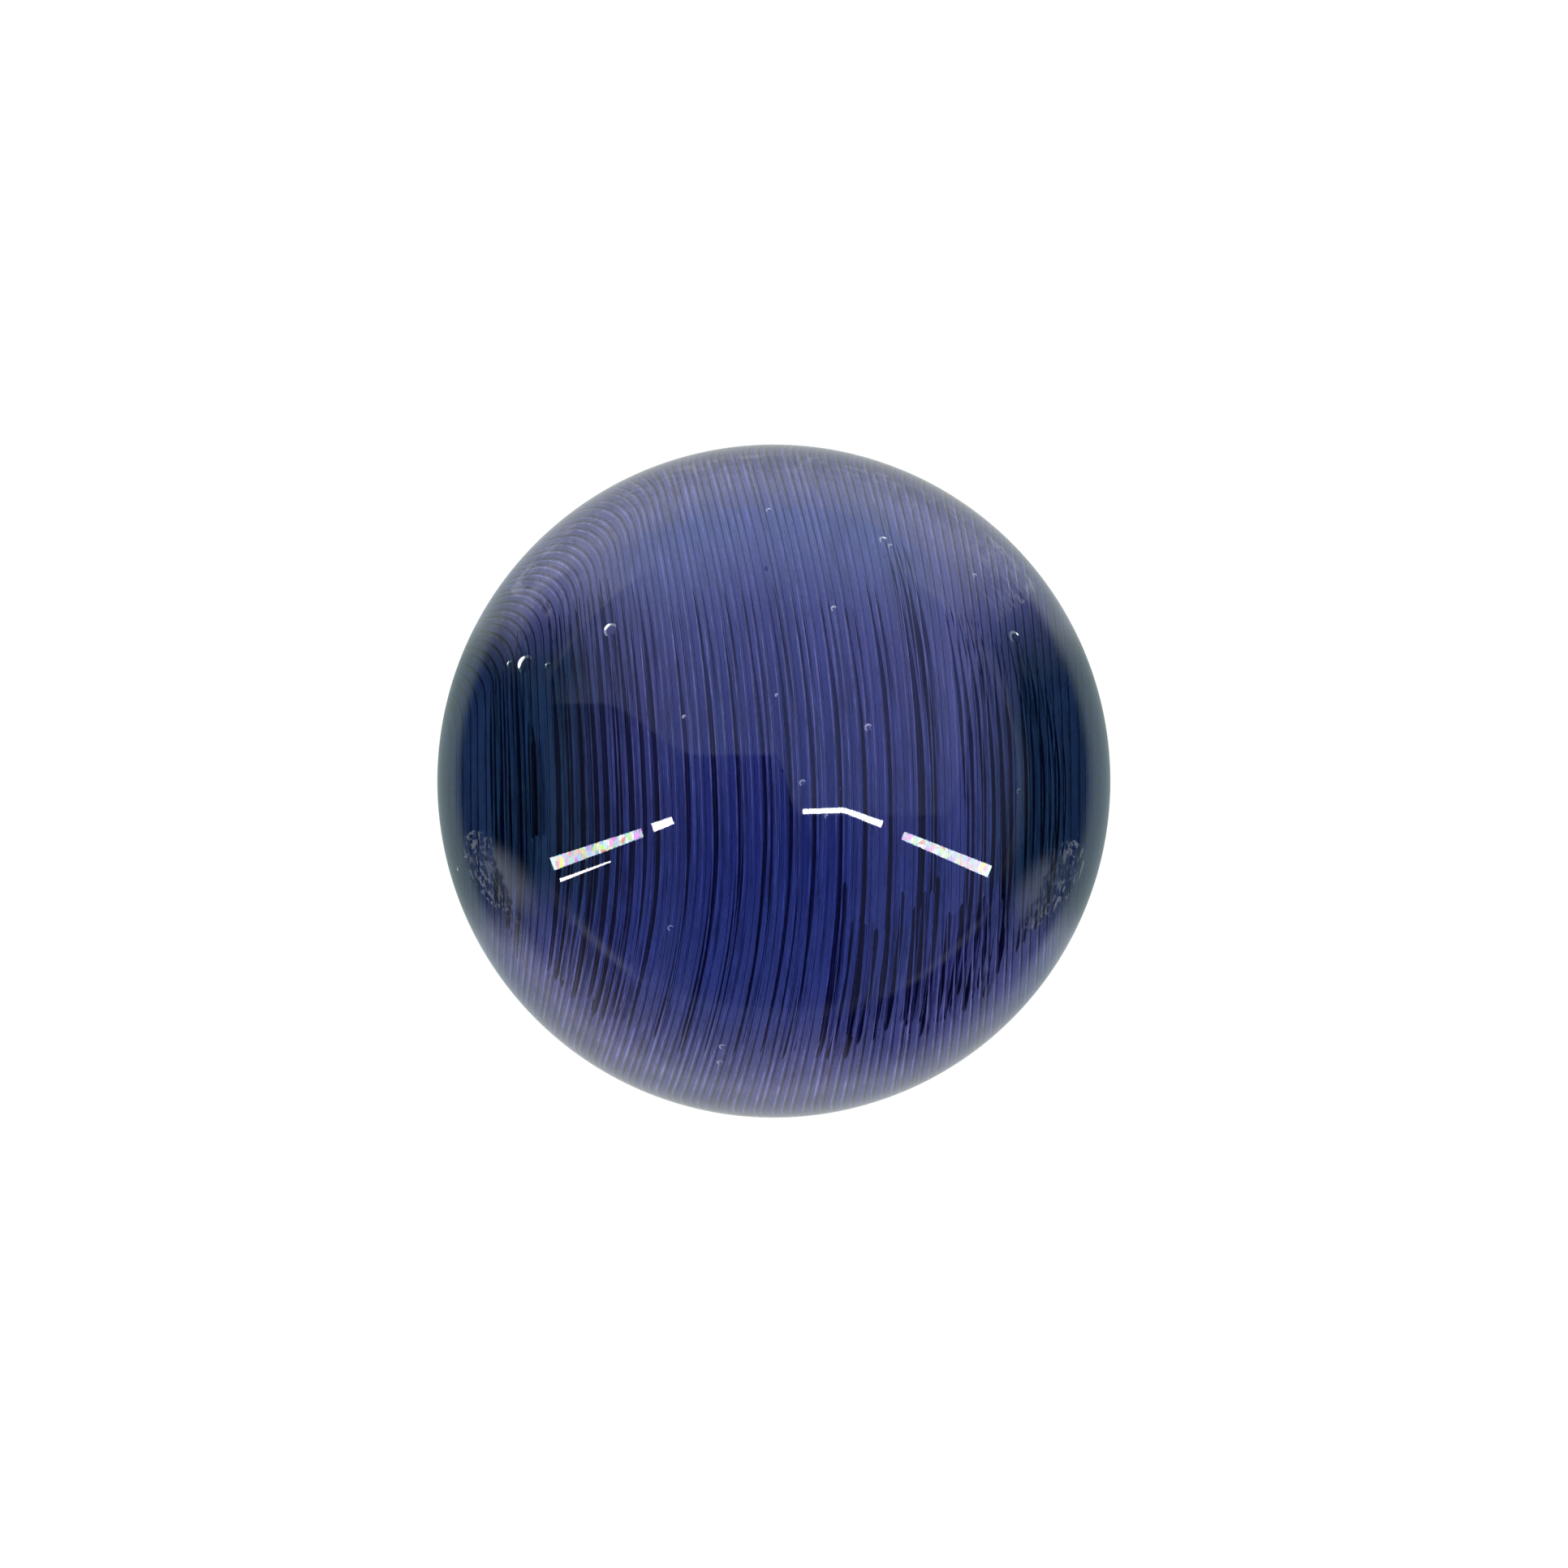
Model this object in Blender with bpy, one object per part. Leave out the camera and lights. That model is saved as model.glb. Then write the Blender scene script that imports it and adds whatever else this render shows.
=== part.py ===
"""A cue ball: one solid casting of translucent resin, in metres, +Z up.

The origin is the ball's centre. The resin's fine threads run along Y, so Y is
the way the casting was poured, and the ball rests on the lowest point of -Z.
"""

import math

import bmesh
import bpy

BALL_DIAMETER = 0.05715  # 2 1/4 in, the standard pool ball
GRID_CUTS = 20  # facets along each edge of the cube that the ball is blown up from
RESIN_COLOUR = (0.030, 0.036, 0.130, 1.0)  # deep blue violet, linear
RESIN_ROUGHNESS = 0.08  # a polished casting
RESIN_METALLIC = 0.0


def clear_scene():
    for old in list(bpy.data.objects):
        bpy.data.objects.remove(old, do_unlink=True)


def resin_material():
    """The ball's one material: a glossy, deep blue violet resin."""
    material = bpy.data.materials.new("ball_resin")
    material.use_nodes = True
    shader = material.node_tree.nodes["Principled BSDF"]
    shader.inputs["Base Color"].default_value = RESIN_COLOUR
    shader.inputs["Roughness"].default_value = RESIN_ROUGHNESS
    shader.inputs["Metallic"].default_value = RESIN_METALLIC
    material.diffuse_color = RESIN_COLOUR
    return material


def on_sphere(point, radius):
    """A cube's surface point, each coordinate in -1..1, moved out to the sphere.

    The tangent spaces the grid lines at equal angles, so the facets are nearly
    the same size all over the ball.
    """
    spread = point.copy()
    for axis in range(3):
        spread[axis] = math.tan(point[axis] * math.pi / 4)
    return spread.normalized() * radius


def ball_mesh(radius, cuts):
    """A closed sphere of cuts * cuts facets on each face of a cube.

    With an even number of cuts, a vertex lies exactly on each end of X, Y and Z,
    so the ball measures its full diameter along all three.
    """
    grid = bmesh.new()
    bmesh.ops.create_cube(grid, size=2.0)
    bmesh.ops.subdivide_edges(grid, edges=grid.edges[:], cuts=cuts - 1, use_grid_fill=True)
    for vertex in grid.verts:
        vertex.co = on_sphere(vertex.co, radius)
    bmesh.ops.recalc_face_normals(grid, faces=grid.faces[:])
    mesh = bpy.data.meshes.new("ball")
    grid.to_mesh(mesh)
    grid.free()
    mesh.shade_smooth()
    return mesh


def build_ball():
    ball = bpy.data.objects.new("ball", ball_mesh(BALL_DIAMETER / 2, GRID_CUTS))
    ball.data.materials.append(resin_material())
    bpy.context.scene.collection.objects.link(ball)
    return ball


clear_scene()
build_ball()
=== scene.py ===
import math
import bpy
import numpy as np
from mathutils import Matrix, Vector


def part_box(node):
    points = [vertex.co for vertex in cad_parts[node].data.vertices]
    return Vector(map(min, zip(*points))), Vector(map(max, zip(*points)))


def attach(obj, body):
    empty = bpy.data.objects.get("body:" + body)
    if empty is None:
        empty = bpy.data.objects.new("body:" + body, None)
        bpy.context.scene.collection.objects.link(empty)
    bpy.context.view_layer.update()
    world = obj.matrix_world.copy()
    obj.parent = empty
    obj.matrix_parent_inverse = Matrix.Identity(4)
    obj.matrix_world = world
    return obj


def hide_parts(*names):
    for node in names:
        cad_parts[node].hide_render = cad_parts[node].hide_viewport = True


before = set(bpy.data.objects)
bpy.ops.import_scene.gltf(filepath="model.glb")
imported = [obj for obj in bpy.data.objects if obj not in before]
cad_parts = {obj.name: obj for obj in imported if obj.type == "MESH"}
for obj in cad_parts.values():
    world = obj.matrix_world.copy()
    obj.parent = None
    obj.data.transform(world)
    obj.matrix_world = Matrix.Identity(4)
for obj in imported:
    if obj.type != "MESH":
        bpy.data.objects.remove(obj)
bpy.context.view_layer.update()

low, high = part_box("ball")
ballR = (high.z - low.z) / 2  # every length below is a share of this radius unless it says mm
mm = 0.001
print("cue ball: radius", round(ballR / mm, 3), "mm")


# small helpers shared by the pieces

def softStep(value, start, end):
    # 0 before start, 1 after end, 3t^2 - 2t^3 between them
    t = np.clip((value - start) / (end - start), 0, 1)
    return t * t * (3 - 2 * t)


def waveSum(rng, a, b, waves=5, reach=3.0):
    # mean of a few sine waves that cross the plane (a, b) at seeded angles: runs smoothly from -1 to 1
    total = 0
    for _ in range(waves):
        alongA, alongB = rng.uniform(-reach, reach, 2)
        total = total + np.sin(alongA * a + alongB * b + rng.uniform(0, 2 * np.pi))
    return total / waves


def unit(vectors):
    # each vector divided by its own length
    return vectors / np.linalg.norm(vectors, axis=-1, keepdims=True)


def meshObject(name, points, faces, smooth=True):
    mesh = bpy.data.meshes.new(name)
    mesh.from_pydata(points.tolist(), [], faces)
    if smooth:
        mesh.shade_smooth()
    made = bpy.data.objects.new(name, mesh)
    bpy.context.scene.collection.objects.link(made)
    return made


def tubes(paths, radius, sides, outward, flat):
    # paths: threads x steps x 3; ring point = path + radius * (cos a * across + flat * sin a * up),
    # up pointing away from the ball's middle, and a cone of one point closes each end
    threads, steps, _ = paths.shape
    along = unit(np.gradient(paths, axis=1))
    across = unit(np.cross(along, outward))
    up = np.cross(across, along)
    angle = np.linspace(0, 2 * np.pi, sides, endpoint=False)[:, None]
    rings = (np.cos(angle) * across[:, :, None] + flat * np.sin(angle) * up[:, :, None])
    rings = paths[:, :, None] + radius[:, :, None, None] * rings
    tips = paths[:, [0, -1]] + along[:, [0, -1]] * radius[:, [0, -1], None] * np.array([-1, 1])[None, :, None]
    thread, step, side = np.meshgrid(np.arange(threads), np.arange(steps - 1), np.arange(sides),
                                     indexing="ij")
    here = (thread * steps + step) * sides
    after = (side + 1) % sides
    walls = np.stack([here + side, here + after, here + sides + after, here + sides + side], -1)
    thread, side = np.meshgrid(np.arange(threads), np.arange(sides), indexing="ij")
    after = (side + 1) % sides
    first = thread * steps * sides
    last = first + (steps - 1) * sides
    tip = threads * steps * sides + 2 * thread
    starts = np.stack([tip, first + after, first + side], -1)
    ends = np.stack([tip + 1, last + side, last + after], -1)
    points = np.vstack([rings.reshape(-1, 3), tips.reshape(-1, 3)])
    faces = walls.reshape(-1, 4).tolist() + starts.reshape(-1, 3).tolist() + ends.reshape(-1, 3).tolist()
    return points, faces


flow = {
    "bendLine": -0.15,  # the threads bow furthest to +X on this line across the ball
    "above": 0.13, "below": 0.20, "belowTilt": -0.26,
}


def drift(x, y):
    # bow of the threads: -(above * (y - line)^2) past the line, and before it
    # -((below + tilt * x) * (line - y)^2)
    past = np.clip(y - flow["bendLine"], 0, None)
    before = np.clip(flow["bendLine"] - y, 0, None)
    return -flow["above"] * past ** 2 - (flow["below"] + flow["belowTilt"] * x) * before ** 2


# shader helpers

def newMaterial(name):
    made = bpy.data.materials.new(name)
    made.use_nodes = True
    return made, made.node_tree, made.node_tree.nodes["Principled BSDF"]


def feed(tree, socket, value):
    if isinstance(value, bpy.types.NodeSocket):
        tree.links.new(value, socket)
    elif isinstance(value, tuple):
        socket.default_value = (*value, 1) if len(socket.default_value) == 4 else value
    else:
        socket.default_value = value


def mathNode(tree, operation, a, b=0.0):
    node = tree.nodes.new("ShaderNodeMath")
    node.operation = operation
    feed(tree, node.inputs[0], a)
    feed(tree, node.inputs[1], b)
    return node.outputs[0]


def ramp(tree, value, start, end, low=0.0, high=1.0):
    node = tree.nodes.new("ShaderNodeMapRange")
    node.interpolation_type = "SMOOTHSTEP"
    feed(tree, node.inputs["Value"], value)
    for label, number in (("From Min", start), ("From Max", end), ("To Min", low), ("To Max", high)):
        node.inputs[label].default_value = number
    return node.outputs["Result"]


def mixColour(tree, factor, a, b, blend="MIX"):
    # this node has sockets for every data type: 6 and 7 are its two colours, output 2 the mixed one
    node = tree.nodes.new("ShaderNodeMix")
    node.data_type = "RGBA"
    node.blend_type = blend
    feed(tree, node.inputs[0], factor)
    feed(tree, node.inputs[6], a)
    feed(tree, node.inputs[7], b)
    return node.outputs[2]


def noise(tree, vector, scale, detail=2.0, roughness=0.5):
    node = tree.nodes.new("ShaderNodeTexNoise")
    feed(tree, node.inputs["Vector"], vector)
    feed(tree, node.inputs["Scale"], scale)
    node.inputs["Detail"].default_value = detail
    node.inputs["Roughness"].default_value = roughness
    return node.outputs["Fac"]


def ballCoords(tree):
    # object coordinates in ball radii, so that the ball runs from -1 to 1
    coords = tree.nodes.new("ShaderNodeTexCoord")
    scaled = tree.nodes.new("ShaderNodeMapping")
    scaled.inputs["Scale"].default_value = (1 / ballR,) * 3
    tree.links.new(coords.outputs["Object"], scaled.inputs["Vector"])
    return scaled.outputs["Vector"]


def buildStriae():
    # streaks along the threads: noise over (x + bow * (y - line)^2, y, z), stretched along Y
    group = bpy.data.node_groups.new("castingStriae", "ShaderNodeTree")
    for label, start in (("Fineness", 20.0), ("Stretch", 0.06), ("Low", 0.8), ("High", 1.0)):
        socket = group.interface.new_socket(name=label, in_out="INPUT", socket_type="NodeSocketFloat")
        socket.default_value = start
    group.interface.new_socket(name="Vector", in_out="INPUT", socket_type="NodeSocketVector")
    group.interface.new_socket(name="Factor", in_out="OUTPUT", socket_type="NodeSocketFloat")
    inside = group.nodes.new("NodeGroupInput")
    outside = group.nodes.new("NodeGroupOutput")
    parts = group.nodes.new("ShaderNodeSeparateXYZ")
    group.links.new(inside.outputs["Vector"], parts.inputs[0])
    offLine = mathNode(group, "SUBTRACT", parts.outputs["Y"], flow["bendLine"])
    bow = mathNode(group, "MULTIPLY", mathNode(group, "MULTIPLY", offLine, offLine), flow["above"])
    across = mathNode(group, "ADD", parts.outputs["X"], bow)
    joined = group.nodes.new("ShaderNodeCombineXYZ")
    feed(group, joined.inputs["X"], across)
    for axis in "YZ":
        stretched = mathNode(group, "MULTIPLY", parts.outputs[axis], inside.outputs["Stretch"])
        feed(group, joined.inputs[axis], stretched)
    streak = noise(group, joined.outputs[0], inside.outputs["Fineness"], 3.0, 0.6)
    spread = group.nodes.new("ShaderNodeMapRange")
    feed(group, spread.inputs["Value"], streak)
    spread.inputs["From Min"].default_value = 0.35
    spread.inputs["From Max"].default_value = 0.65
    feed(group, spread.inputs["To Min"], inside.outputs["Low"])
    feed(group, spread.inputs["To Max"], inside.outputs["High"])
    group.links.new(spread.outputs["Result"], outside.inputs["Factor"])
    return group


striaeGroup = buildStriae()


def striae(tree, vector, fineness, stretch, lowest, highest):
    node = tree.nodes.new("ShaderNodeGroup")
    node.node_tree = striaeGroup
    for label, value in (("Vector", vector), ("Fineness", fineness), ("Stretch", stretch),
                         ("Low", lowest), ("High", highest)):
        feed(tree, node.inputs[label], value)
    return node.outputs["Factor"]


def asGrey(tree, value):
    joined = tree.nodes.new("ShaderNodeCombineColor")
    for socket in joined.inputs[:3]:
        feed(tree, socket, value)
    return joined.outputs[0]


# the polished resin ball

resinBall = {
    "rows": 210, "columns": 420,
    "ior": 1.5, "polish": 0.0,
    "through": (0.430, 0.510, 0.900),  # share of red, green and blue left after one diameter
    "lowerTint": (0.225, 0.345, 0.70),  # it is darker on the -Y side of its top
    "girthShadeTint": (0.20, 0.23, 0.45),  # painted shade: darker all round its girth, so side views keep the deep colour the view from above gets from the ball's shadow
    "flankShadeTint": (0.042, 0.185, 0.13),  # painted shade: darker and greener towards the two sides, for the dark surroundings the ball shows there
    "edgeTint": (0.06, 0.19, 0.16),  # and that painted shade a little paler again at their edges
    # where each tint begins and where it is full, in ball radii
    "lowerAlong": (0.40, -0.30), "lowerHeight": (0.50, 0.84),
    "girthTop": (0.48, 0.05), "girthBase": (-0.97, -0.70),
    "leftFlank": (-0.33, -0.60), "rightFlank": (0.50, 0.71),
    "flankMiddle": 0.04, "flankAlong": (0.58, 0.28), "flankHeight": (-0.15, 0.25),
    "edgeAcross": (0.66, 0.86),
    "wobble": 0.16, "wobbleScale": 2.2,  # how far noise moves the tints' outlines, and how finely
    "streakFineness": 16.0, "streakStretch": 0.05, "streakDark": 0.72,
    "violet": (1.0, 0.72, 1.0), "violetFineness": 6.0, "violetStretch": 0.10, "violetShare": 0.50,
    "deepest": 0.98,  # how near to 1 the strongest loss may stand in the absorption's colour
}


def ballSurface(radius, rows, columns):
    # point = radius * (sin v cos u, cos v, -sin v sin u), poles at +Y and -Y closed with one point each
    v = np.linspace(0, np.pi, rows + 1)[1:-1, None]
    u = np.linspace(0, 2 * np.pi, columns, endpoint=False)[None, :]
    rings = np.stack([np.sin(v) * np.cos(u), np.cos(v) + 0 * u, -np.sin(v) * np.sin(u)], -1)
    points = radius * np.vstack([rings.reshape(-1, 3), [[0, 1, 0], [0, -1, 0]]])
    row, column = np.meshgrid(np.arange(rows - 2), np.arange(columns), indexing="ij")
    here = row * columns + column
    after = row * columns + (column + 1) % columns
    walls = np.stack([here, here + columns, after + columns, after], -1).reshape(-1, 4)
    column = np.arange(columns)
    after = (column + 1) % columns
    last = (rows - 2) * columns
    north = np.stack([np.full(columns, len(points) - 2), column, after], -1)
    south = np.stack([np.full(columns, len(points) - 1), last + after, last + column], -1)
    return points, walls.tolist() + north.tolist() + south.tolist()


def resinMaterial(look):
    made, tree, shader = newMaterial("tintedResin")
    shader.inputs["Roughness"].default_value = look["polish"]
    shader.inputs["IOR"].default_value = look["ior"]
    shader.inputs["Transmission Weight"].default_value = 1.0
    spot = ballCoords(tree)
    parts = tree.nodes.new("ShaderNodeSeparateXYZ")
    tree.links.new(spot, parts.inputs[0])
    z = parts.outputs["Z"]
    wobble = mathNode(tree, "SUBTRACT", noise(tree, spot, look["wobbleScale"]), 0.5)
    wobble = mathNode(tree, "MULTIPLY", wobble, look["wobble"])
    x = mathNode(tree, "ADD", parts.outputs["X"], wobble)
    y = mathNode(tree, "ADD", parts.outputs["Y"], wobble)
    awayX = mathNode(tree, "ABSOLUTE", x)
    awayY = mathNode(tree, "ABSOLUTE", mathNode(tree, "SUBTRACT", y, look["flankMiddle"]))
    # painted shade towards the two sides, a little paler again at their edges
    sides = mathNode(tree, "ADD", ramp(tree, x, *look["leftFlank"]), ramp(tree, x, *look["rightFlank"]))
    flankShade = mathNode(tree, "MULTIPLY", sides, ramp(tree, awayY, *look["flankAlong"]))
    flankShade = mathNode(tree, "MULTIPLY", flankShade, ramp(tree, z, *look["flankHeight"]))
    edge = mathNode(tree, "MULTIPLY", flankShade, ramp(tree, awayX, *look["edgeAcross"]))
    # darker on the -Y side of the ball's top
    lowerDarkening = mathNode(tree, "MULTIPLY", ramp(tree, y, *look["lowerAlong"]),
                     ramp(tree, z, *look["lowerHeight"]))
    # painted shade all round the ball's middle height
    girthShade = mathNode(tree, "MULTIPLY", ramp(tree, z, *look["girthTop"]), ramp(tree, z, *look["girthBase"]))
    colour = mixColour(tree, lowerDarkening, (1.0, 1.0, 1.0), look["lowerTint"])
    colour = mixColour(tree, girthShade, colour, look["girthShadeTint"])
    colour = mixColour(tree, flankShade, colour, look["flankShadeTint"])
    colour = mixColour(tree, edge, colour, look["edgeTint"])
    streaks = striae(tree, spot, look["streakFineness"], look["streakStretch"], look["streakDark"], 1.0)
    colour = mixColour(tree, 1.0, colour, asGrey(tree, streaks), "MULTIPLY")
    violet = striae(tree, spot, look["violetFineness"], look["violetStretch"], 0.0, look["violetShare"])
    colour = mixColour(tree, violet, colour, look["violet"], "MULTIPLY")
    feed(tree, shader.inputs["Base Color"], colour)
    # absorption: light left after a length d is exp(-density * (1 - colour) * d)
    loss = -np.log(np.array(look["through"])) / (2 * ballR)
    density = loss.max() / look["deepest"]
    absorption = tree.nodes.new("ShaderNodeVolumeAbsorption")
    absorption.inputs["Color"].default_value = (*(1 - loss / density), 1)
    absorption.inputs["Density"].default_value = density
    tree.links.new(absorption.outputs[0], tree.nodes["Material Output"].inputs["Volume"])
    return made


ball = meshObject("resinBall", *ballSurface(ballR, resinBall["rows"], resinBall["columns"]))
ball.data.materials.append(resinMaterial(resinBall))
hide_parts("ball")
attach(ball, "root")
print("resin ball:", len(ball.data.polygons), "faces")


# fine pale threads just under the polished skin

skinThreads = {
    "count": 84, "steps": 150, "sides": 4, "seed": 7,
    "span": 0.975, "scatter": 0.0024,  # how far across the ball they reach, and how unevenly they lie
    "depth": 0.986, "flat": 0.5,
    "thin": 0.05, "thick": 0.14,  # radius in mm
    "sizeWave": 0.45,  # how much the radius swells and shrinks along a thread
    "topShare": 0.30, "topFade": (-0.75, -0.45),  # share of it left over the middle of the top, by -z
    "sideShare": 0.30, "sideFade": (-0.15, 0.40),  # and down the sides, by z
    "lowest": -0.74,  # they stop short of the ball's underside
    "steepest": -0.97,  # least cosine of the angle that the smallest rings may reach
    "turnedUntil": -0.04,  # threads further to -X than this turn out to the edge
    "turnAt": 1.035, "turnLength": 0.26, "turnBy": 1.75,
    "turnEnd": 0.992, "longest": 2.2, "trials": 600,  # a turned thread ends where it crosses this circle
    "backFrom": 1.60,  # angle from +Z at which the turned ones go on down the +Y side
    "frontFade": (-0.5, 0.3), "wander": 0.006,
    "colourSpan": (0.72, 0.40),  # middle colour above the first z, rim colour below the second
    "shadeShift": 0.0095, "shadeRadius": 0.085,  # painted shadow threads: ball radii to the side, and most mm of radius
    "shadeTopLoss": 0.55, "shadeTopFade": (0.55, 0.85),
    "shadeSideShare": 0.12, "shadeSideFade": (-0.05, 0.35),
    "middleColour": (0.420, 0.400, 0.740), "rimColour": (0.420, 0.460, 0.840),
    "shadeMiddle": (0.060, 0.060, 0.260), "shadeRim": (0.050, 0.055, 0.180),
}


def turnedPaths(c, steps, look):
    # threads left of the middle: up the front at x = c to y = c + turnAt, then through a turn of turnBy
    # radians and out to the edge; x and y are running sums of -sin and cos of the heading, z puts them on
    # the sphere, and before y = 0 they follow a ring round X
    c = c[:, None]
    rho = np.sqrt(1 - c ** 2)
    start = -rho * np.arccos(np.clip(look["lowest"] / rho, look["steepest"], 1))

    def plane(length):
        turnFrom = c + look["turnAt"]
        turn = look["turnBy"] * softStep(length, turnFrom, turnFrom + look["turnLength"])
        step = length[:, 1:2] - length[:, :1]
        x = c - np.cumsum(np.sin(turn), 1) * step
        y = length[:, :1] + np.cumsum(np.cos(turn), 1) * step
        return x, y

    share = np.linspace(0, 1, look["trials"])[None, :]
    length = start + (look["longest"] - start) * share
    x, y = plane(length)
    out = (np.hypot(x, y) > look["turnEnd"]) & (length > 0)
    last = np.take_along_axis(length, out.argmax(1)[:, None], 1)
    length = start + (last - start) * np.linspace(0, 1, steps)[None, :]
    x, y = plane(length)
    under = length < 0
    z = np.sqrt(np.clip(1 - x ** 2 - y ** 2, 1e-4, 1))
    z = np.where(under, rho * np.cos(length / rho), z)
    y = np.where(under, rho * np.sin(length / rho), y)
    return np.stack([x, y, z], -1)


def ringPaths(c, first, steps, look):
    # rings round X: (c, rho sin a, rho cos a), from the angle first to where the ring reaches lowest
    c = c[:, None]
    rho = np.sqrt(1 - c ** 2)
    end = np.arccos(np.clip(look["lowest"] / rho, look["steepest"], 1))
    begin = -end if first is None else np.minimum(first, end - 0.1)
    a = begin + (end - begin) * np.linspace(0, 1, steps)[None, :]
    return np.stack([c + 0 * a, rho * np.sin(a), rho * np.cos(a)], -1)


def skinPaths(look):
    # turned paths and rings, moved to x + drift + wander and put back on the sphere of radius 1; the radius
    # is thin + (thick - thin) * a seeded share * (1 + sizeWave * waves), less on top and down the sides
    rng = np.random.default_rng(look["seed"])
    c = np.linspace(-look["span"], look["span"], look["count"])
    c = c + rng.normal(0, look["scatter"], look["count"])
    left = c[c < look["turnedUntil"]]
    right = c[c >= look["turnedUntil"]]
    paths = np.concatenate([turnedPaths(left, look["steps"], look),
                            ringPaths(right, None, look["steps"], look),
                            ringPaths(left, look["backFrom"], look["steps"], look)])
    x, y, z = paths[..., 0], paths[..., 1], paths[..., 2]
    front = softStep(z, *look["frontFade"])
    wander = look["wander"] * waveSum(rng, x * 5, y * 2.5 + z, 6)
    x = x + drift(x, y) * front + wander
    paths = unit(np.stack([x, y, z], -1))
    size = rng.uniform(0.25, 1, len(paths))[:, None]
    size = size * (1 + look["sizeWave"] * waveSum(rng, x * 30, y * 4, 6, 3.0))
    size = size * (look["topShare"] + (1 - look["topShare"]) * softStep(-z, *look["topFade"]))
    size = size * (look["sideShare"] + (1 - look["sideShare"]) * softStep(z, *look["sideFade"]))
    size = look["thin"] + (look["thick"] - look["thin"]) * np.clip(size, 0, 1.1)
    share = np.abs(np.linspace(-1, 1, look["steps"]))
    size = size * np.sqrt(np.clip((1 - share) * 25, 0.02, 1))  # rounded off over the last steps
    return paths, size


threadFinish = {
    "fineness": 60.0, "stretch": 0.12, "darkest": 0.55, "palest": 1.25,
    "speckle": 40.0, "roughness": (0.5, 0.7),
}


def threadMaterial(name, first, second, axis, start, end):
    # one colour before start along the axis, the other past end, with streaks along the thread
    made, tree, shader = newMaterial(name)
    spot = ballCoords(tree)
    parts = tree.nodes.new("ShaderNodeSeparateXYZ")
    tree.links.new(spot, parts.inputs[0])
    colour = mixColour(tree, ramp(tree, parts.outputs[axis], start, end), first, second)
    streaks = striae(tree, spot, threadFinish["fineness"], threadFinish["stretch"],
                     threadFinish["darkest"], threadFinish["palest"])
    colour = mixColour(tree, 1.0, colour, asGrey(tree, streaks), "MULTIPLY")
    feed(tree, shader.inputs["Base Color"], colour)
    speckle = noise(tree, spot, threadFinish["speckle"])
    feed(tree, shader.inputs["Roughness"], ramp(tree, speckle, 0.3, 0.7, *threadFinish["roughness"]))
    return made


paths, size = skinPaths(skinThreads)
skin = meshObject("skinThreads", *tubes(ballR * skinThreads["depth"] * paths, size * mm,
                                        skinThreads["sides"], paths, skinThreads["flat"]))
skin.data.materials.append(threadMaterial("skinThread", skinThreads["middleColour"],
                                          skinThreads["rimColour"], "Z", *skinThreads["colourSpan"]))
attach(skin, "root")

# painted shadow: a dark thread beside each pale one, moved square to it along the skin
across = unit(np.cross(np.gradient(paths, axis=1), paths))
beside = unit(paths + skinThreads["shadeShift"] * across)
height = paths[..., 2]
slim = np.minimum(size, skinThreads["shadeRadius"])
slim = slim * (1 - skinThreads["shadeTopLoss"] * softStep(height, *skinThreads["shadeTopFade"]))
sideShare = skinThreads["shadeSideShare"]
slim = slim * (sideShare + (1 - sideShare) * softStep(height, *skinThreads["shadeSideFade"]))
shade = meshObject("skinShadowThreads", *tubes(ballR * skinThreads["depth"] * beside, slim * mm,
                                        skinThreads["sides"], beside, skinThreads["flat"]))
shade.data.materials.append(threadMaterial("skinShadowThread", skinThreads["shadeMiddle"],
                                           skinThreads["shadeRim"], "Z", *skinThreads["colourSpan"]))
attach(shade, "root")
print("skin threads:", len(paths), "pale and as many dark tubes,", len(skin.data.polygons), "faces")


# dark strands through the middle of the ball, each with a pale one beside it

coreStrands = {
    "steps": 56, "sides": 8, "flat": 0.8, "seed": 11,
    "scatter": 0.005,  # how unevenly the strands lie, sideways
    "wander": 0.002, "rise": 0.012,  # how far one strays sideways, and up and down
    "sizeWave": 0.20, "thinEnd": 0.25,  # share of the radius left at the +Y end
    # each band: from x to x as seen from above, how many, thinnest and thickest radius in mm, where they
    # start and end along Y as a share of their length, the circle they end on, and their scatter in height
    "bands": (
        (-0.900, -0.765, 9, 0.08, 0.13, -1.0, 0.85, 0.97, 0.16),
        (-0.738, -0.722, 2, 0.17, 0.21, -0.30, 0.30, 0.95, 0.04),
        (-0.655, -0.465, 6, 0.18, 0.25, -1.0, 0.84, 0.90, 0.16),
        (-0.435, -0.350, 3, 0.12, 0.16, -1.0, 0.80, 0.90, 0.12),
        (-0.255, 0.275, 8, 0.11, 0.16, -1.0, 0.68, 0.90, 0.20),
        (-0.420, 0.230, 9, 0.05, 0.08, -1.0, 0.50, 0.88, 0.28),
        (0.350, 0.354, 1, 0.16, 0.17, -1.0, 0.85, 0.90, 0.10),
        (0.448, 0.488, 2, 0.20, 0.24, -1.0, 0.95, 0.92, 0.04),
        (0.580, 0.730, 6, 0.13, 0.19, -1.0, 0.75, 0.95, 0.20),
        (0.780, 0.930, 9, 0.08, 0.13, -1.0, 0.85, 0.98, 0.16),
        (0.215, 0.430, 7, 0.11, 0.16, -1.0, -0.46, 0.92, 0.16),
        (0.465, 0.690, 7, 0.11, 0.16, -1.0, -0.42, 0.98, 0.16),
    ),
    "darkColour": (0.010, 0.012, 0.070), "softColour": (0.035, 0.040, 0.170),
    "darkSpan": (-0.10, 0.25),  # dark colour before the first y, soft colour past the second
    "paleColour": (0.56, 0.56, 0.76), "paleSpan": (0.05, 0.35),
    "paleShift": (0.016, 0.0, 0.006), "paleRadius": 0.13, "paleSides": 6, "paleFlat": 0.7,
}


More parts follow.
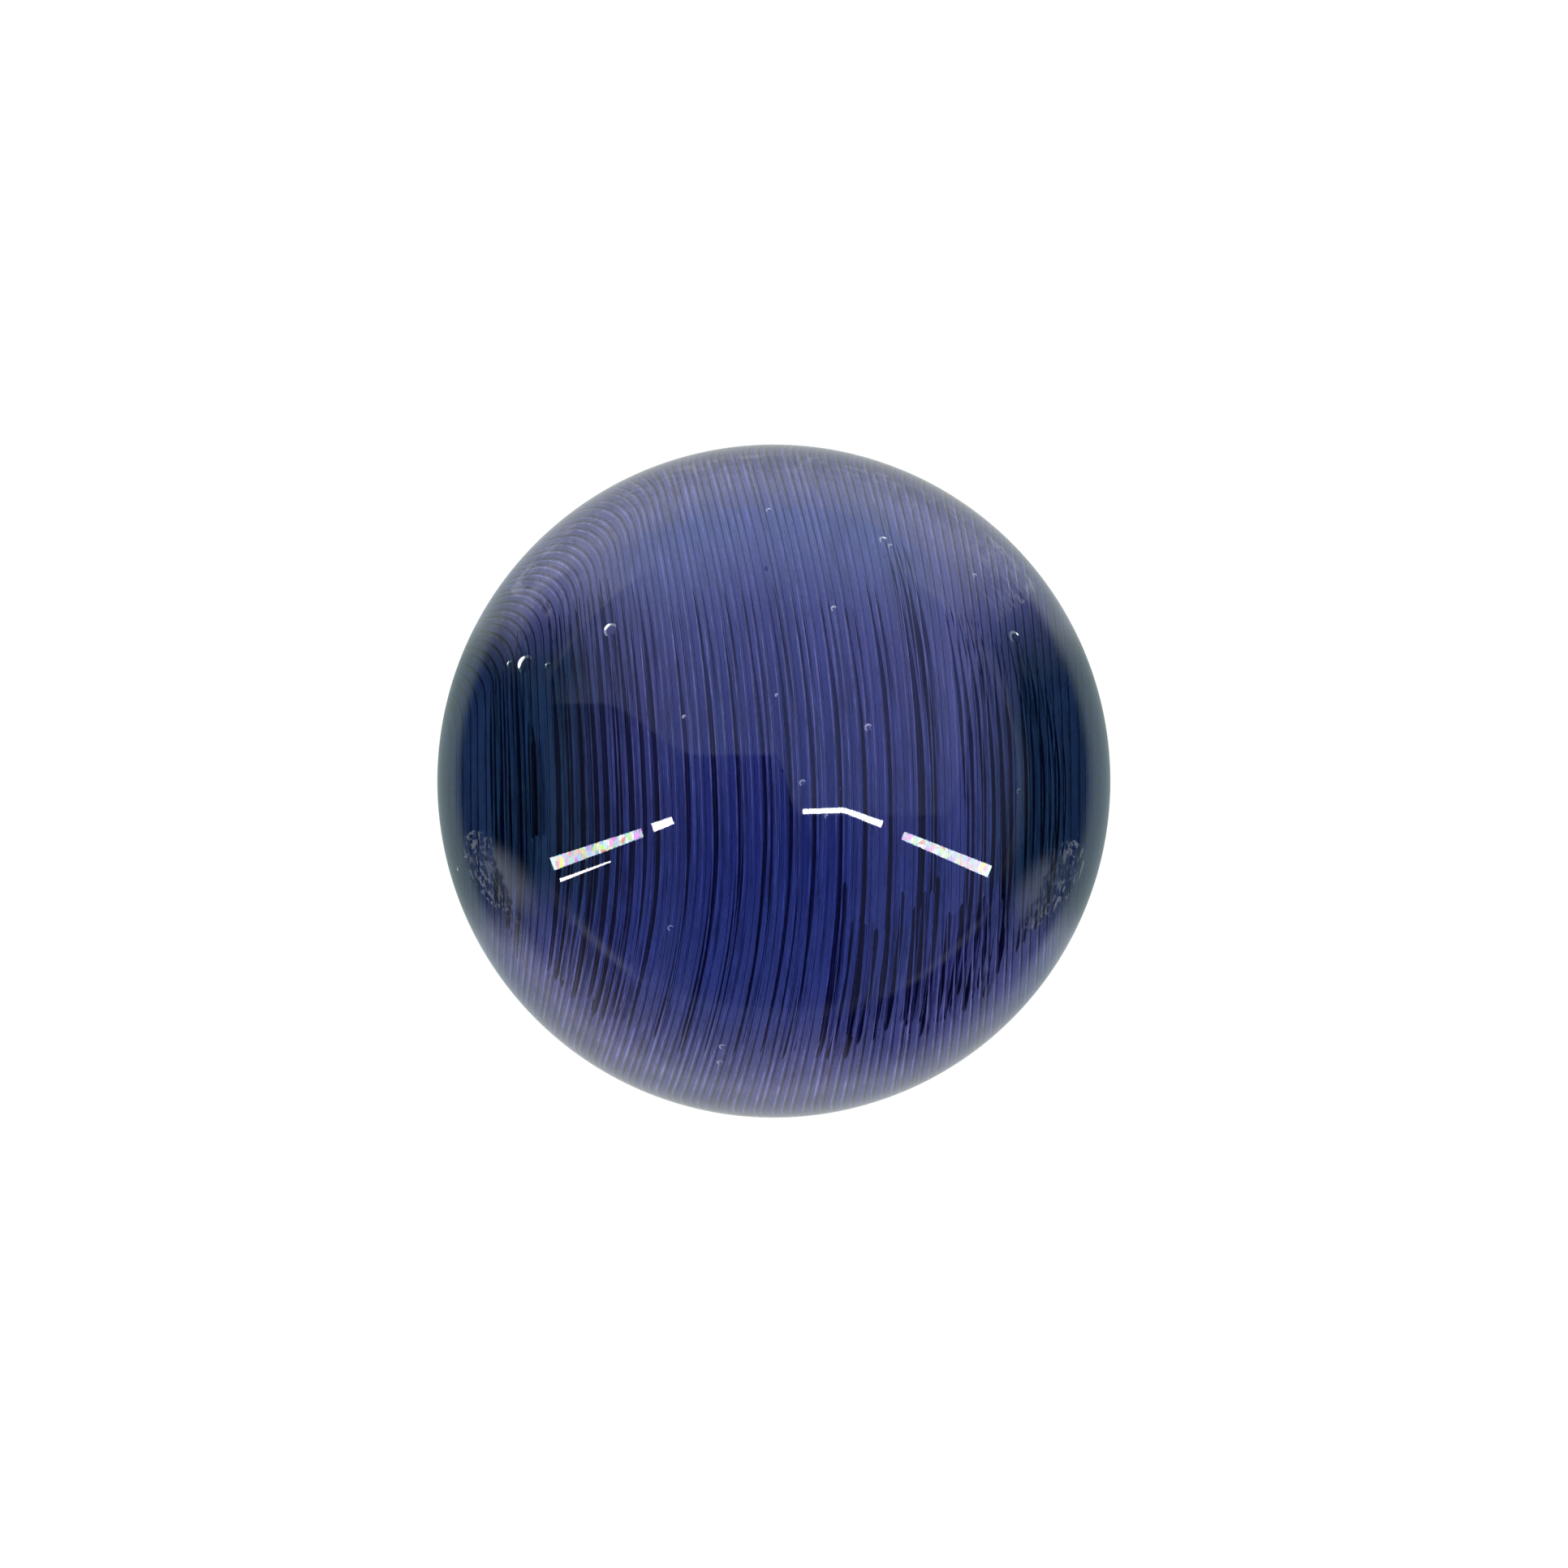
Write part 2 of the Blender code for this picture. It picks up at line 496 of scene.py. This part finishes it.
def strandPaths(look):
    # the ball magnifies what lies at the height z by 3 / (2 + z), so a strand to be seen at x is put at
    # x / magnify, with the bow read at the magnified place; y = +-sqrt(edge^2 - x^2) / magnify at the ends
    rng = np.random.default_rng(look["seed"])
    rows = []
    for start, end, count, thin, thick, lowest, highest, edge, scatter in look["bands"]:
        seen = np.linspace(start, end, count) + rng.normal(0, look["scatter"], count)
        radius = rng.uniform(thin, thick, count)
        height = rng.uniform(-scatter, scatter, count)
        ends = [np.full(count, value) for value in (lowest, highest, edge)]
        rows.append(np.stack([seen, radius, height] + ends, -1))
    seen, radius, z0, lowest, highest, edge = (part[:, None] for part in np.vstack(rows).T)
    magnify = 3 / (2 + z0)
    x0 = seen / magnify
    half = np.sqrt(np.clip(edge ** 2 - seen ** 2, 0.01, 1)) / magnify * rng.uniform(0.92, 1.0, x0.shape)
    highest = np.where(highest < 0, highest * rng.uniform(0.7, 1.3, x0.shape), highest)
    share = np.linspace(0, 1, look["steps"])[None, :]
    y = half * (lowest + (highest - lowest) * share)
    x = x0 + drift(seen, magnify * y) / magnify + look["wander"] * waveSum(rng, x0 * 9, y * 4, 6)
    paths = np.stack([x, y, z0 + look["rise"] * waveSum(rng, x0 * 20, y * 5, 5)], -1)
    size = radius * (1 + look["sizeWave"] * waveSum(rng, x0 * 60, y * 8, 6, 2.0))
    size = size * np.sqrt(np.clip(1 - np.abs(2 * share - 1) ** 24, 0.05, 1))
    taper = look["thinEnd"] + (1 - look["thinEnd"]) * softStep(1 - share, 0, 0.35)
    size = size * np.where(highest > 0, taper, 1)
    return paths, size


paths, size = strandPaths(coreStrands)
upward = np.broadcast_to(np.array([0.0, 0.0, 1.0]), paths.shape)
core = meshObject("coreStrands", *tubes(ballR * paths, size * mm,
                                        coreStrands["sides"], upward, coreStrands["flat"]))
core.data.materials.append(threadMaterial("coreStrand", coreStrands["darkColour"],
                                          coreStrands["softColour"], "Y", *coreStrands["darkSpan"]))
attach(core, "root")

beside = paths + np.array(coreStrands["paleShift"])
slim = np.minimum(size, coreStrands["paleRadius"])
pale = meshObject("paleStrands", *tubes(ballR * beside, slim * mm,
                                        coreStrands["paleSides"], upward, coreStrands["paleFlat"]))
pale.data.materials.append(threadMaterial("paleStrand", coreStrands["paleColour"],
                                          coreStrands["softColour"], "Y", *coreStrands["paleSpan"]))
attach(pale, "root")
print("core strands:", len(paths), "dark and as many pale,", len(core.data.polygons), "faces")


# bubbles caught in the casting

bubbles = {
    "rows": 8, "columns": 12, "seed": 5,
    "cover": 0.10, "squash": 0.85,  # cover: mm of resin over the larger ones
    "near": (  # the larger ones under the top of the skin: x and y in ball radii, and the radius in mm
        (-0.720, 0.338, 0.70), (-0.762, 0.338, 0.24), (-0.646, 0.330, 0.22), (-0.466, 0.432, 0.52),
        (0.700, 0.415, 0.50), (-0.013, 0.777, 0.20), (0.317, 0.692, 0.30), (0.336, 0.673, 0.18),
        (0.083, -0.006, 0.22), (-0.290, -0.418, 0.22), (-0.146, -0.765, 0.24), (-0.153, -0.813, 0.22),
        (0.269, 0.150, 0.26), (0.582, 0.591, 0.20), (0.172, 0.488, 0.20), (0.702, -0.030, 0.18),
        (-0.924, -0.259, 0.22), (0.150, -0.100, 0.12), (-0.250, 0.180, 0.12), (0.010, 0.240, 0.10),
    ),
    "scattered": 46, "smallest": 0.05, "largest": 0.13,  # radius in mm
    "scatterReach": (0.35, 0.95), "scatterPower": 0.6,  # how far from the middle they lie
    # the rim colour and glow are a painted highlight on each larger bubble's lit edge
    "bodyColour": (0.30, 0.32, 0.62), "rimColour": (0.92, 0.94, 1.00), "rimHighlightGlow": 0.20,
    "bodyRoughness": (0.10, 0.25), "rimRoughness": (0.25, 0.45),
    "rimSteps": 14, "rimSides": 6, "rimFlat": 0.8, "rimLift": 0.45,
    "rimShare": 0.11, "rimLeast": 0.05,  # thickness: a share of the bubble's radius, and mm added to it
    "rimFrom": 0.7, "rimTo": 4.1,  # angles round the bubble from +X, in radians
}


def bubbleDepth(radius, look):
    # share of the ball's radius at which a bubble of this radius in mm has its cover of resin
    return 1 - (radius * look["squash"] + look["cover"]) * mm / ballR


def bubbleSurfaces(look):
    # each bubble: centre + radius * (sin v cos u, sin v sin u, squash * cos v), a closed egg of 84 faces
    rng = np.random.default_rng(look["seed"])
    near = np.array(look["near"])
    up = np.sqrt(1 - near[:, 0] ** 2 - near[:, 1] ** 2)
    centres = np.stack([near[:, 0], near[:, 1], up], -1) * bubbleDepth(near[:, 2:], look)
    way = unit(rng.normal(0, 1, (look["scattered"], 3)))
    outTo = rng.uniform(*look["scatterReach"], look["scattered"])[:, None] ** look["scatterPower"]
    centres = np.vstack([centres, way * outTo])
    radius = np.concatenate([near[:, 2], rng.uniform(look["smallest"], look["largest"], look["scattered"])])
    v = np.linspace(0, np.pi, look["rows"])[1:-1, None]
    u = np.linspace(0, 2 * np.pi, look["columns"], endpoint=False)[None, :]
    egg = np.stack([np.sin(v) * np.cos(u), np.sin(v) * np.sin(u), look["squash"] * (np.cos(v) + 0 * u)], -1)
    egg = np.vstack([egg.reshape(-1, 3), [[0, 0, look["squash"]], [0, 0, -look["squash"]]]])
    points = ballR * centres[:, None] + mm * radius[:, None, None] * egg[None]
    rings, columns = look["rows"] - 2, look["columns"]
    row, column = np.meshgrid(np.arange(rings - 1), np.arange(columns), indexing="ij")
    here = row * columns + column
    after = row * columns + (column + 1) % columns
    walls = np.stack([here, here + columns, after + columns, after], -1).reshape(-1, 4)
    column = np.arange(columns)
    after = (column + 1) % columns
    last = (rings - 1) * columns
    top = np.stack([np.full(columns, len(egg) - 2), column, after], -1)
    base = np.stack([np.full(columns, len(egg) - 1), last + after, last + column], -1)
    first = np.arange(len(centres))[:, None, None] * len(egg)
    walls = (walls[None] + first).reshape(-1, 4).tolist()
    caps = (np.vstack([top, base])[None] + first).reshape(-1, 3).tolist()
    return points.reshape(-1, 3), walls + caps


def bubbleHighlights(look):
    # a painted highlight on the lit edge of each larger bubble: a tube along centre + radius * (cos a, sin a,
    # rimLift), round its upper side, that tapers to both ends
    near = np.array(look["near"])[:, None]
    up = np.sqrt(1 - near[..., 0] ** 2 - near[..., 1] ** 2)
    centres = np.stack([near[..., 0], near[..., 1], up], -1) * bubbleDepth(near[..., 2:], look) * ballR
    share = np.linspace(0, 1, look["rimSteps"])[None, :]
    a = look["rimFrom"] + (look["rimTo"] - look["rimFrom"]) * share
    radius = near[..., 2] * mm
    arc = np.stack([np.cos(a), np.sin(a), look["rimLift"] + 0 * a], -1) * radius[..., None]
    size = radius * look["rimShare"] * (0.15 + 1.35 * np.sin(np.pi * share)) + look["rimLeast"] * mm
    outward = np.broadcast_to(np.array([0.0, 0.0, 1.0]), arc.shape)
    return tubes(centres + arc, size, look["rimSides"], outward, look["rimFlat"])


def bubbleMaterial(name, colour, roughness, glow):
    # one colour with faint streaks, its roughness between two values, and a glow for the light it catches
    made, tree, shader = newMaterial(name)
    spot = ballCoords(tree)
    streaks = striae(tree, spot, 30.0, 0.5, 0.8, 1.0)
    feed(tree, shader.inputs["Base Color"], mixColour(tree, 1.0, colour, asGrey(tree, streaks), "MULTIPLY"))
    feed(tree, shader.inputs["Roughness"], ramp(tree, noise(tree, spot, 60.0), 0.3, 0.7, *roughness))
    shader.inputs["Emission Color"].default_value = (*colour, 1)
    shader.inputs["Emission Strength"].default_value = glow
    return made


bubble = meshObject("bubbles", *bubbleSurfaces(bubbles))
bubble.data.materials.append(bubbleMaterial("bubbleWall", bubbles["bodyColour"],
                                            bubbles["bodyRoughness"], 0.0))
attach(bubble, "root")
# pale glowing tubes: a painted highlight on the bubbles' lit edges
rim = meshObject("bubbleHighlights", *bubbleHighlights(bubbles))
rim.data.materials.append(bubbleMaterial("bubbleHighlight", bubbles["rimColour"],
                                         bubbles["rimRoughness"], bubbles["rimHighlightGlow"]))
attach(rim, "root")
print("bubbles:", len(bubble.data.polygons), "faces, rims", len(rim.data.polygons))


# floor, lights and cards: none of it belongs to the ball

studio = {
    "floorHalf": 6.0, "floorColour": (0.95, 0.95, 0.95), "floorRoughness": 0.9,
    "sky": 1.30, "mirroredSky": (0.33, 0.38, 0.58),
    "topLight": 0.8, "topLightAngle": 20,
    "cardBase": 0.995,  # cards stop this far under the ball's middle, just above the floor
    "patchCells": (26, 2),  # pastel cells along and across a strip
}


def plainMaterial(name, colour, roughness):
    made, tree, shader = newMaterial(name)
    feed(tree, shader.inputs["Base Color"], colour)
    shader.inputs["Roughness"].default_value = roughness
    shader.inputs["Specular IOR Level"].default_value = 0.0
    return made


reach = studio["floorHalf"]
corners = np.array([(-reach, -reach, low.z), (reach, -reach, low.z),
                    (reach, reach, low.z), (-reach, reach, low.z)])
floor = meshObject("floor", corners, [(0, 1, 2, 3)], False)
floor.data.materials.append(plainMaterial("floorPaper", studio["floorColour"], studio["floorRoughness"]))


def cardMaterial(name, colour, glow, patches=0.0):
    # a glowing card that fades by its fade attribute, in one colour or, where colour is a function, by its
    # shade attribute; patches mixes in pastel cells along a strip
    made = bpy.data.materials.new(name)
    made.use_nodes = True
    tree = made.node_tree
    tree.nodes.clear()
    shine = tree.nodes.new("ShaderNodeEmission")
    if callable(colour):
        shade = tree.nodes.new("ShaderNodeAttribute")
        shade.attribute_name = "shade"
        feed(tree, shine.inputs["Color"], shade.outputs["Color"])
    else:
        feed(tree, shine.inputs["Color"], colour)
    if patches:
        place = tree.nodes.new("ShaderNodeAttribute")
        place.attribute_name = "place"
        cell = tree.nodes.new("ShaderNodeTexVoronoi")
        feed(tree, cell.inputs["Vector"], place.outputs["Vector"])
        cell.inputs["Scale"].default_value = 1.0
        tint = mixColour(tree, 0.25, cell.outputs["Color"], (1.0, 1.0, 1.0))
        feed(tree, shine.inputs["Color"], mixColour(tree, patches, (1.0, 1.0, 1.0), tint))
    shine.inputs["Strength"].default_value = glow
    clear = tree.nodes.new("ShaderNodeBsdfTransparent")
    fade = tree.nodes.new("ShaderNodeAttribute")
    fade.attribute_name = "fade"
    both = tree.nodes.new("ShaderNodeMixShader")
    output = tree.nodes.new("ShaderNodeOutputMaterial")
    tree.links.new(fade.outputs["Fac"], both.inputs[0])
    tree.links.new(clear.outputs[0], both.inputs[1])
    tree.links.new(shine.outputs[0], both.inputs[2])
    tree.links.new(both.outputs[0], output.inputs["Surface"])
    return made


def mirrorCard(name, spots, distance, colour, glow, fade, cells, patches=0.0):
    # a card placed where the top of the ball mirrors it to someone straight above: from the spot (x, y, nz)
    # on the ball the way out is (2 nz x, 2 nz y, 2 nz^2 - 1), followed for distance or down to the floor
    s, t = np.meshgrid(np.linspace(0, 1, cells[0] + 1), np.linspace(0, 1, cells[1] + 1), indexing="ij")
    x, y = spots(s, t)
    nz = np.sqrt(np.clip(1 - x ** 2 - y ** 2, 0, 1))
    way = np.stack([2 * nz * x, 2 * nz * y, 2 * nz ** 2 - 1], -1)
    down = np.minimum(way[..., 2], -1e-6)
    toFloor = (nz + studio["cardBase"]) / -down
    far = np.where(way[..., 2] < 0, np.minimum(distance, toFloor), distance)
    points = ballR * (np.stack([x, y, nz], -1) + way * far[..., None])
    row, column = np.meshgrid(np.arange(cells[0]), np.arange(cells[1]), indexing="ij")
    here = row * (cells[1] + 1) + column
    faces = np.stack([here, here + cells[1] + 1, here + cells[1] + 2, here + 1], -1).reshape(-1, 4).tolist()
    made = meshObject(name, points.reshape(-1, 3), faces, False)
    values = made.data.attributes.new("fade", "FLOAT", "POINT")
    values.data.foreach_set("value", (fade(s, t) + 0 * s).ravel())
    if callable(colour):
        shades = np.concatenate([colour(s, t), np.ones(s.shape + (1,))], -1)
        colours = made.data.attributes.new("shade", "FLOAT_COLOR", "POINT")
        colours.data.foreach_set("color", shades.ravel())
    if patches:
        place = made.data.attributes.new("place", "FLOAT_VECTOR", "POINT")
        along, across = studio["patchCells"]
        place.data.foreach_set("vector", np.stack([s * along, t * across, 0 * s], -1).ravel())
    made.data.materials.append(cardMaterial(name, colour, glow, patches))
    made.visible_camera = False
    made.visible_diffuse = False
    made.visible_transmission = False
    made.visible_shadow = False
    made.visible_volume_scatter = False


def edges(value, soft):
    # 0 at both ends of 0..1, rising to 1 over the share soft
    return softStep(np.minimum(value, 1 - value), 0, soft)


# a dark ceiling over the -Y half; its far edge shows as a line across the middle of the ball
ceiling = {
    "left": -0.70, "width": 1.42, "circle": 0.70, "shrink": 0.995,
    "edge": 0.075,  # y of the far edge
    "leftRise": 0.15, "leftFrom": (0.22, 0.50),  # it climbs towards -X
    "middleDrop": 0.175, "middleFrom": (0.01, 0.07),  # drops past the middle
    "rightRise": 0.47, "rightFrom": (0.50, 0.62),  # and climbs again at +X
    "distance": 14, "colour": (0.02, 0.02, 0.04), "cells": (64, 32),
}


def ceilingSpots(s, t):
    # x = left + width * s; y runs from the circle's near side up to edge + leftRise - middleDrop + rightRise
    x = ceiling["left"] + ceiling["width"] * s
    edge = ceiling["edge"] + ceiling["leftRise"] * softStep(-x, *ceiling["leftFrom"])
    edge = (edge - ceiling["middleDrop"] * softStep(x, *ceiling["middleFrom"])
            + ceiling["rightRise"] * softStep(x, *ceiling["rightFrom"]))
    bottom = -np.sqrt(np.clip(ceiling["circle"] ** 2 - x ** 2, 0, 1))
    y = bottom + (np.minimum(edge, -bottom) - bottom) * t
    return x * ceiling["shrink"], y * ceiling["shrink"]


def ceilingFade(s, t):
    # thinner at both ends of X, and soft along the -Y edge and the +X end
    thinned = (1 - 0.50 * softStep(s, 0.62, 0.70)) * (1 - 0.22 * softStep(0.36 - s, 0, 0.10))
    return softStep(t, 0, 0.06) * thinned * softStep(1 - s, 0, 0.05)


mirrorCard("darkCeiling", ceilingSpots, ceiling["distance"], ceiling["colour"], 1.0,
           ceilingFade, ceiling["cells"])


# one mat lying round the ball, black far out, then green at the two sides and a pale grey elsewhere
mat = {
    "inner": 0.60, "outer": 0.998,
    "blackUntil": 0.905, "greenFrom": 0.945, "green": (0.29, 0.37, 0.33),
    "farShade": 0.88, "nearShade": 0.45, "lowerRight": 0.40,
    "upperShade": 0.95, "upperEndLeft": 0.94, "upperEndRight": 1.02, "upperSoft": 0.12,
    "rimShade": 0.80, "rimFrom": (0.85, 0.955), "rim": (0.46, 0.50, 0.44),
    "distance": 7, "cells": (180, 60),
}


def matSpots(s, t):
    # a ring: b * (cos 2 pi s, sin 2 pi s), b from inner to outer
    b = mat["inner"] + (mat["outer"] - mat["inner"]) * t
    return b * np.cos(2 * np.pi * s), b * np.sin(2 * np.pi * s)


def matFade(s, t):
    # how solid the mat is, the largest of four shades: the two sides, the part closest to the ball, the
    # -Y half, which thins towards the ball and is stronger at +X, and the two corners at +Y
    b = mat["inner"] + (mat["outer"] - mat["inner"]) * t
    across, along = np.cos(2 * np.pi * s), np.sin(2 * np.pi * s)
    start = np.where(across < 0, 0.60, 0.64)
    sides = softStep(np.abs(across), 0.72, 0.95) * softStep(b, start, start + 0.12)
    ring = mat["farShade"] + (mat["nearShade"] - mat["farShade"]) * softStep(b, 0.70, 0.95)
    corner = softStep(across, 0.10, 0.50) * softStep(-along, 0.30, 0.60)
    ring = np.minimum(ring + mat["lowerRight"] * corner, 1)
    lower = softStep(-along, -0.25, 0.20) * softStep(b, 0.66, 0.72) * ring
    end = np.where(across < 0, mat["upperEndLeft"], mat["upperEndRight"])
    upper = mat["upperShade"] * softStep(np.abs(across), 0.55, 0.85) * softStep(b, 0.66, 0.74)
    upper = upper * (1 - softStep(b, end - mat["upperSoft"], end))
    rim = mat["rimShade"] * softStep(b, *mat["rimFrom"])
    return np.maximum(np.maximum(sides, rim), np.maximum(lower, upper))


def matColour(s, t):
    # black far out; close in it turns green at the two sides and the rim's colour elsewhere
    b = mat["inner"] + (mat["outer"] - mat["inner"]) * t
    sides = softStep(np.abs(np.cos(2 * np.pi * s)), 0.60, 0.85)
    green = (softStep(b, mat["blackUntil"], mat["greenFrom"]) * sides)[..., None]
    rim = (softStep(b, *mat["rimFrom"]) * (1 - sides))[..., None]
    return green * np.array(mat["green"]) + rim * np.array(mat["rim"])


mirrorCard("roundMat", matSpots, mat["distance"], matColour, 1.0, matFade, mat["cells"])


# a wide bluish soft box past the +Y side
softBox = {
    "inner": 0.46, "depth": 0.50, "halfAngle": 0.95,
    "distance": 6.5, "colour": (0.52, 0.68, 1.0), "glow": 2.0, "cells": (48, 32),
}


def boxSpots(s, t):
    # part of a ring: b * (cos a, sin a), b = inner + depth * t, a up to halfAngle to both sides of +Y
    b = softBox["inner"] + softBox["depth"] * t
    a = math.pi / 2 + (2 * s - 1) * softBox["halfAngle"]
    return b * np.cos(a), b * np.sin(a)


def boxFade(s, t):
    # soft at both sides and at both ends of t
    return edges(s, 0.30) * softStep(t, 0, 0.56) * softStep(1 - t, 0, 0.40)


mirrorCard("softBox", boxSpots, softBox["distance"], softBox["colour"], softBox["glow"],
           boxFade, softBox["cells"])


# two rows of strip lamps, in ball radii: from (x, y) to (x, y), width at each end, share of pastel cells
stripShine = {"distance": 5, "glow": 26.0, "cells": (16, 2)}
stripLamps = {
    "stripRight1": ((0.084, -0.088), (0.203, -0.084), (0.015, 0.016), 0.0),
    "stripRight2": ((0.203, -0.084), (0.313, -0.125), (0.016, 0.021), 0.0),
    "stripRight3": ((0.373, -0.157), (0.627, -0.263), (0.024, 0.036), 0.75),
    "stripLeft1": ((-0.289, -0.113), (-0.349, -0.135), (0.022, 0.026), 0.0),
    "stripLeft2": ((-0.378, -0.149), (-0.643, -0.241), (0.026, 0.038), 1.0),
    "stripLeft3": ((-0.470, -0.232), (-0.620, -0.288), (0.005, 0.010), 0.0),
}


def stripSpots(start, end, width):
    # start + run * s, moved square to the run by (t - 0.5) * width, the width running from end to end
    def spots(s, t):
        runX, runY = end[0] - start[0], end[1] - start[1]
        length = math.hypot(runX, runY)
        off = (t - 0.5) * (width[0] + (width[1] - width[0]) * s)
        return start[0] + runX * s - runY / length * off, start[1] + runY * s + runX / length * off
    return spots


for label, (start, end, width, patches) in stripLamps.items():
    mirrorCard(label, stripSpots(start, end, width), stripShine["distance"], (1.0, 1.0, 1.0),
               stripShine["glow"], lambda s, t: 1.0, stripShine["cells"], patches)


def bowSpots(a, b, c, width):
    # a band along the quadratic curve a, b, c, widest in its middle and spread square to the chord
    def spots(s, t):
        x = (1 - s) ** 2 * a[0] + 2 * s * (1 - s) * b[0] + s ** 2 * c[0]
        y = (1 - s) ** 2 * a[1] + 2 * s * (1 - s) * b[1] + s ** 2 * c[1]
        runX, runY = c[0] - a[0], c[1] - a[1]
        off = (t - 0.5) * width * (0.3 + 2.8 * s * (1 - s)) / math.hypot(runX, runY)
        return x - runY * off, y + runX * off
    return spots


# pale bands: the table's lit edges in front, and a soft pale glow mirrored low on each flank;
# each has the three points of its curve, its width, its glow and how far off it stands
bandShine = {"colour": (0.62, 0.66, 0.80), "softEnds": 0.40, "softSides": 0.45, "cells": (24, 12)}
paleBands = {
    "tableEdgeLeft": (((-0.640, -0.330), (-0.500, -0.500), (-0.330, -0.620)), 0.040, 1.1, 6),
    "tableEdgeRight": (((0.690, -0.283), (0.520, -0.560), (0.256, -0.645)), 0.034, 0.7, 6),
    "flankGlowLeft": (((-0.900, -0.160), (-0.780, -0.270), (-0.680, -0.420)), 0.170, 1.5, 4),
    "flankGlowRight": (((0.900, -0.190), (0.780, -0.290), (0.680, -0.440)), 0.170, 1.1, 4),
}


def bandFade(s, t):
    # full in the middle of the band and soft all round
    return edges(s, bandShine["softEnds"]) * edges(t, bandShine["softSides"])


for label, (points, width, glow, distance) in paleBands.items():
    mirrorCard(label, bowSpots(*points, width), distance, bandShine["colour"], glow,
               bandFade, bandShine["cells"])

# a soft white room all round, which mirrors darker and bluer than it lights
world = bpy.data.worlds.new("softRoom")
world.use_nodes = True
bpy.context.scene.world = world
tree = world.node_tree
rays = tree.nodes.new("ShaderNodeLightPath")
sky = mixColour(tree, rays.outputs["Is Glossy Ray"], (1.0, 1.0, 1.0), studio["mirroredSky"])
feed(tree, tree.nodes["Background"].inputs["Color"], sky)
tree.nodes["Background"].inputs["Strength"].default_value = studio["sky"]

# straight down, so that the ball's own shadow stays under it; the ball doesn't mirror it
lamp = bpy.data.lights.new("topLight", "SUN")
lamp.energy = studio["topLight"]
lamp.angle = math.radians(studio["topLightAngle"])
topLight = bpy.data.objects.new("topLight", lamp)
topLight.visible_glossy = False
topLight.visible_transmission = False
bpy.context.scene.collection.objects.link(topLight)
bpy.context.scene.view_settings.view_transform = "Standard"
print("studio: floor, soft room, cards and strip lamps")


# camera straight above the ball

shot = {
    "distance": 0.45,  # metres from the ball's middle
    "share": 0.4295,  # of the frame's width, taken by the ball
    "offX": 0.0301, "offY": -0.0087,  # how far the camera stands off the middle, in ball radii
}

camera = bpy.data.cameras.new("camera")
cameraObject = bpy.data.objects.new("camera", camera)
bpy.context.scene.collection.objects.link(cameraObject)
ballAngle = math.asin(ballR / shot["distance"])
halfFrame = math.tan(ballAngle) / shot["share"]
camera.sensor_width = 36
camera.lens = camera.sensor_width / 2 / halfFrame
camera.clip_start = 0.01
camera.clip_end = 50
cameraObject.location = (shot["offX"] * ballR, shot["offY"] * ballR, shot["distance"])
bpy.context.scene.camera = cameraObject
